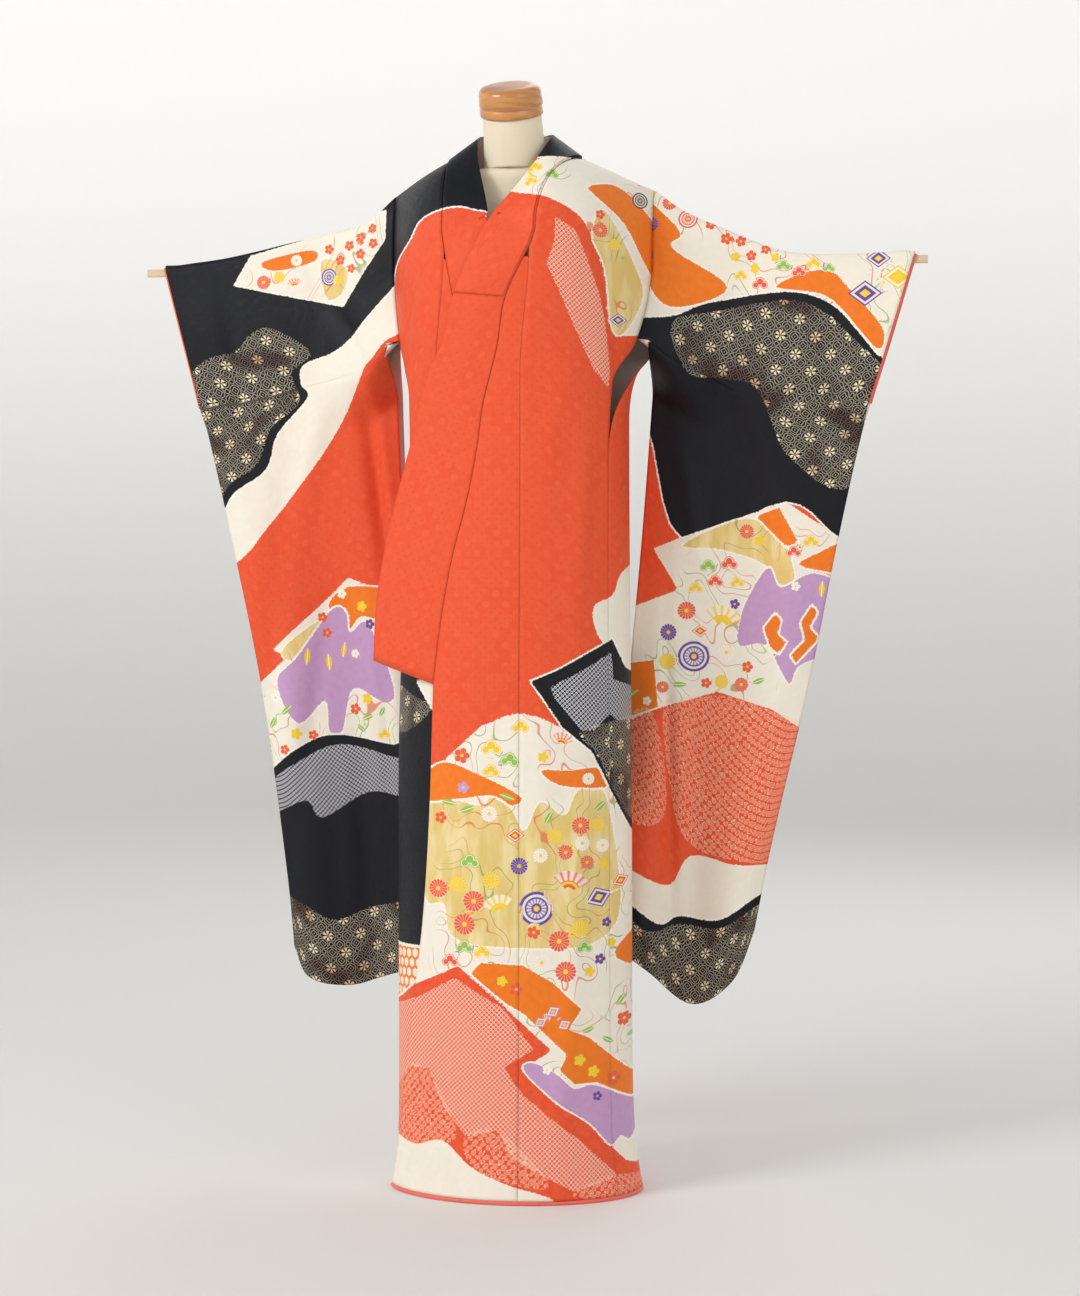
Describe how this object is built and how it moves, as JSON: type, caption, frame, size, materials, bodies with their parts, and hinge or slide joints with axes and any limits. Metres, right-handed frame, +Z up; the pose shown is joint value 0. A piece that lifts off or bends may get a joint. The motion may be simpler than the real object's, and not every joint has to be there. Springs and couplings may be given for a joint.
{
  "type": "furisode kimono on a limbless dress form",
  "caption": "Long-sleeved formal kimono with a resist-dyed pattern, worn without a sash on a limbless dress form, its sleeves spread by a bar.",
  "frame": {"origin": "on the floor, at the middle of the form's round base", "axes": "+Z up, -Y the way the robe faces, +X towards the wearer's left"},
  "size_m": [1.248, 0.3068, 1.7066],
  "materials": {
    "robe_silk": "soft sheen",
    "lining_silk": "soft sheen",
    "form_cover": "matt",
    "cap_wood": "varnished",
    "bar_wood": "bare",
    "stand_metal": "satin"
  },
  "bodies": {
    "root": {"body_left": "robe_silk", "body_right": "robe_silk", "overlap_left": "robe_silk", "overlap_right": "robe_silk", "collar": "robe_silk", "over_collar": "robe_silk", "sleeve_left": "robe_silk", "sleeve_right": "robe_silk", "cuff_facing_left": "lining_silk", "cuff_facing_right": "lining_silk", "hem_roll": "lining_silk", "form_torso": "form_cover", "form_neck": "form_cover", "neck_cap": "cap_wood", "sleeve_bar": "bar_wood", "bar_bracket": "bar_wood", "form_pole": "stand_metal", "form_base": "stand_metal"}
  },
  "joints": []
}
